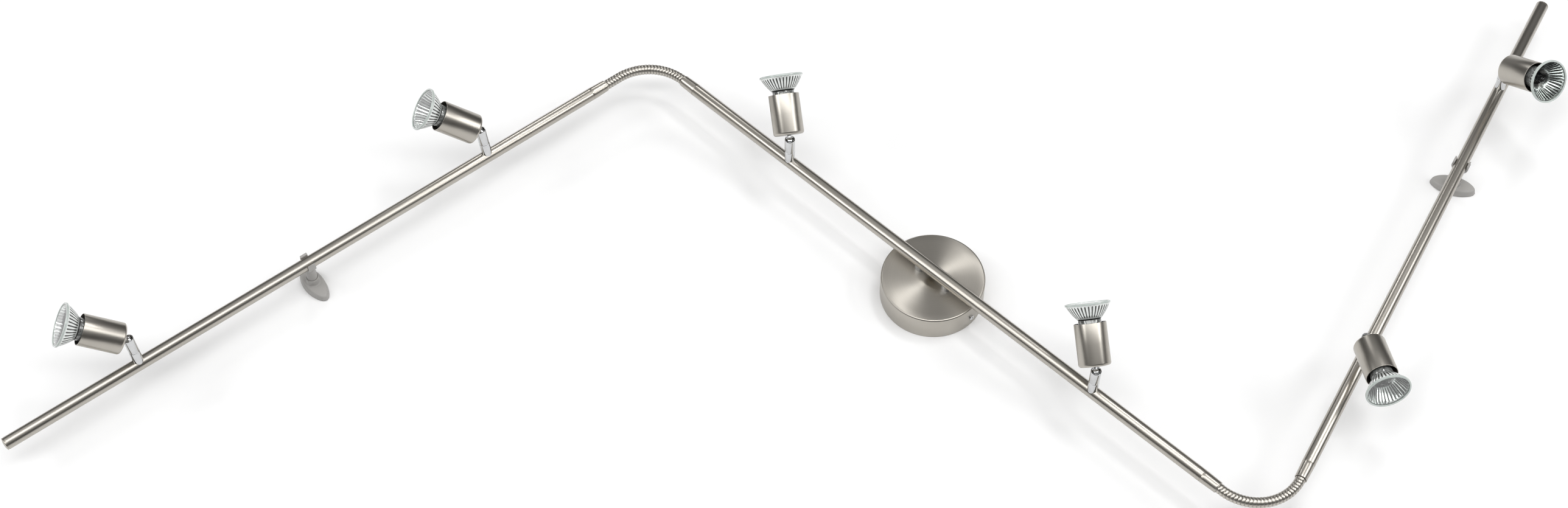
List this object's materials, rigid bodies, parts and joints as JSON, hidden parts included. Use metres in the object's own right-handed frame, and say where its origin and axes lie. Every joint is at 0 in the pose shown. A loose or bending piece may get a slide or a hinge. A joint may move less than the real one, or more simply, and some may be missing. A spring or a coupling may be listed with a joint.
{
  "type": "track lighting fixture",
  "caption": "Bendable ceiling spot bar: straight nickel tubes joined by corrugated necks, on a round canopy and clip-on feet, with turning and tilting reflector lamp heads.",
  "frame": {"origin": "centre of the cable hole in the ceiling strap, in the plane of the canopy's back rim and of the two feet", "axes": "+Z points out of the ceiling; X and Y lie in the ceiling plane, +X along the length of the zigzag"},
  "size_m": [1.7892, 0.6981, 0.1513],
  "materials": {
    "canopy_nickel": "satin nickel, spun",
    "tube_nickel": "satin nickel",
    "cap_nickel": "satin nickel",
    "neck_nickel": "corrugated, satin nickel",
    "can_nickel": "satin nickel",
    "stem_chrome": "polished chrome",
    "zinc_steel": "zinc plated",
    "grey_plastic": "grey moulded plastic",
    "cream_plastic": "cream moulded plastic",
    "wire_plastic": "insulated flexible core",
    "lampholder_ceramic": "unglazed white ceramic",
    "lamp_glass": "pressed glass reflector lamp"
  },
  "bodies": {
    "middle": {"canopy": "canopy_nickel", "ceiling_bracket": "zinc_steel", "canopy_screws": "stem_chrome", "terminal_block": "cream_plastic", "canopy_nipples": "zinc_steel", "nipple_nuts": "zinc_steel", "canopy_wires": "wire_plastic", "centre_tube": "tube_nickel", "centre_ferrules": "tube_nickel", "centre_stem_bases": "stem_chrome"},
    "left_neck": {"left_gooseneck": "neck_nickel"},
    "right_neck": {"right_gooseneck": "neck_nickel"},
    "left_arm": {"left_tube": "tube_nickel", "left_end_cap": "cap_nickel", "left_ferrule": "tube_nickel", "left_stem_bases": "stem_chrome"},
    "right_arm": {"right_tube": "tube_nickel", "right_end_cap": "cap_nickel", "right_ferrule": "tube_nickel", "right_stem_bases": "stem_chrome"},
    "left_clip_body": {"left_clip": "grey_plastic"},
    "left_foot_body": {"left_foot": "grey_plastic"},
    "right_clip_body": {"right_clip": "grey_plastic"},
    "right_foot_body": {"right_foot": "grey_plastic"},
    "head_1_swivel": {"head_1_socket": "stem_chrome", "head_1_pins": "zinc_steel"},
    "head_1_head": {"head_1_knuckle": "stem_chrome", "head_1_can": "can_nickel", "head_1_lampholder": "lampholder_ceramic", "head_1_lamp": "lamp_glass"},
    "head_2_swivel": {"head_2_socket": "stem_chrome", "head_2_pins": "zinc_steel"},
    "head_2_head": {"head_2_knuckle": "stem_chrome", "head_2_can": "can_nickel", "head_2_lampholder": "lampholder_ceramic", "head_2_lamp": "lamp_glass"},
    "head_3_swivel": {"head_3_socket": "stem_chrome", "head_3_pins": "zinc_steel"},
    "head_3_head": {"head_3_knuckle": "stem_chrome", "head_3_can": "can_nickel", "head_3_lampholder": "lampholder_ceramic", "head_3_lamp": "lamp_glass"},
    "head_4_swivel": {"head_4_socket": "stem_chrome", "head_4_pins": "zinc_steel"},
    "head_4_head": {"head_4_knuckle": "stem_chrome", "head_4_can": "can_nickel", "head_4_lampholder": "lampholder_ceramic", "head_4_lamp": "lamp_glass"},
    "head_5_swivel": {"head_5_socket": "stem_chrome", "head_5_pins": "zinc_steel"},
    "head_5_head": {"head_5_knuckle": "stem_chrome", "head_5_can": "can_nickel", "head_5_lampholder": "lampholder_ceramic", "head_5_lamp": "lamp_glass"},
    "head_6_swivel": {"head_6_socket": "stem_chrome", "head_6_pins": "zinc_steel"},
    "head_6_head": {"head_6_knuckle": "stem_chrome", "head_6_can": "can_nickel", "head_6_lampholder": "lampholder_ceramic", "head_6_lamp": "lamp_glass"}
  },
  "joints": [
    {"name": "left_neck_bend", "type": "hinge", "parent": "middle", "child": "left_neck", "pos_m": [-0.3095, 0.28662, 0.046], "axis": [0, 0, 1], "range_deg": [-40, 12], "deforming": ["left_gooseneck"]},
    {"name": "left_neck_bend_outer", "type": "hinge", "parent": "left_neck", "child": "left_arm", "pos_m": [-0.35049, 0.28855, 0.046], "axis": [0, 0, 1], "range_deg": [-40, 12], "deforming": ["left_gooseneck"]},
    {"name": "right_neck_bend", "type": "hinge", "parent": "middle", "child": "right_neck", "pos_m": [0.32112, -0.29498, 0.046], "axis": [0, 0, 1], "range_deg": [-51, 6], "deforming": ["right_gooseneck"]},
    {"name": "right_neck_bend_outer", "type": "hinge", "parent": "right_neck", "child": "right_arm", "pos_m": [0.3688, -0.28781, 0.046], "axis": [0, 0, 1], "range_deg": [-51, 6], "deforming": ["right_gooseneck"]},
    {"name": "left_clip_slide", "type": "slide", "parent": "left_arm", "child": "left_clip_body", "axis": [-0.7891, -0.6143, 0], "range_m": [-0.2, 0.15]},
    {"name": "left_foot_swivel", "type": "hinge", "parent": "left_clip_body", "child": "left_foot_body", "pos_m": [-0.71329, 0.01077, 0.01], "axis": [0, 0, 1], "continuous": true},
    {"name": "right_clip_slide", "type": "slide", "parent": "right_arm", "child": "right_clip_body", "axis": [0.4939, 0.8695, 0], "range_m": [-0.2, 0.11]},
    {"name": "right_foot_swivel", "type": "hinge", "parent": "right_clip_body", "child": "right_foot_body", "pos_m": [0.62361, 0.1495, 0.01], "axis": [0, 0, 1], "continuous": true},
    {"name": "head_1_turn", "type": "hinge", "parent": "left_arm", "child": "head_1_swivel", "pos_m": [-0.88794, -0.12025, 0.06816], "axis": [-0.1067, 0.137, 0.9848], "range_deg": [-165, 165]},
    {"name": "head_1_tilt", "type": "hinge", "parent": "head_1_swivel", "child": "head_1_head", "pos_m": [-0.88986, -0.11778, 0.08589], "axis": [0.1654, -0.9742, 0.1535], "range_deg": [-53.5, 36.5]},
    {"name": "head_2_turn", "type": "hinge", "parent": "left_arm", "child": "head_2_swivel", "pos_m": [-0.52102, 0.1654, 0.06816], "axis": [-0.1067, 0.137, 0.9848], "range_deg": [-165, 165]},
    {"name": "head_2_tilt", "type": "hinge", "parent": "head_2_swivel", "child": "head_2_head", "pos_m": [-0.52294, 0.16786, 0.08589], "axis": [0.1139, -0.9823, 0.149], "range_deg": [-49, 41]},
    {"name": "head_3_turn", "type": "hinge", "parent": "middle", "child": "head_3_swivel", "pos_m": [-0.16353, 0.1541, 0.0685], "axis": [0, 0, 1], "range_deg": [-165, 165]},
    {"name": "head_3_tilt", "type": "hinge", "parent": "head_3_swivel", "child": "head_3_head", "pos_m": [-0.16353, 0.1541, 0.0865], "axis": [-0.9863, -0.165, 0], "range_deg": [-56, 34]},
    {"name": "head_4_turn", "type": "hinge", "parent": "middle", "child": "head_4_swivel", "pos_m": [0.16906, -0.15932, 0.0685], "axis": [0, 0, 1], "range_deg": [-165, 165]},
    {"name": "head_4_tilt", "type": "hinge", "parent": "head_4_swivel", "child": "head_4_head", "pos_m": [0.16906, -0.15932, 0.0865], "axis": [-0.989, -0.1478, 0], "range_deg": [-56, 34]},
    {"name": "head_5_turn", "type": "hinge", "parent": "right_arm", "child": "head_5_swivel", "pos_m": [0.47066, -0.11657, 0.06845], "axis": [-0.0607, 0.0345, 0.9976], "range_deg": [-165, 165]},
    {"name": "head_5_tilt", "type": "hinge", "parent": "head_5_swivel", "child": "head_5_head", "pos_m": [0.46956, -0.11595, 0.0864], "axis": [0.986, 0.1574, 0.0545], "range_deg": [-83, 7]},
    {"name": "head_6_turn", "type": "hinge", "parent": "right_arm", "child": "head_6_swivel", "pos_m": [0.68517, 0.26105, 0.06845], "axis": [-0.0607, 0.0345, 0.9976], "range_deg": [-165, 165]},
    {"name": "head_6_tilt", "type": "hinge", "parent": "head_6_swivel", "child": "head_6_head", "pos_m": [0.68408, 0.26167, 0.0864], "axis": [0.8561, 0.5156, 0.0342], "range_deg": [-58.5, 31.5]}
  ],
  "couplings": [
    {"joint": "left_neck_bend_outer", "follows": "left_neck_bend", "ratio": 1},
    {"joint": "right_neck_bend_outer", "follows": "right_neck_bend", "ratio": 1}
  ]
}
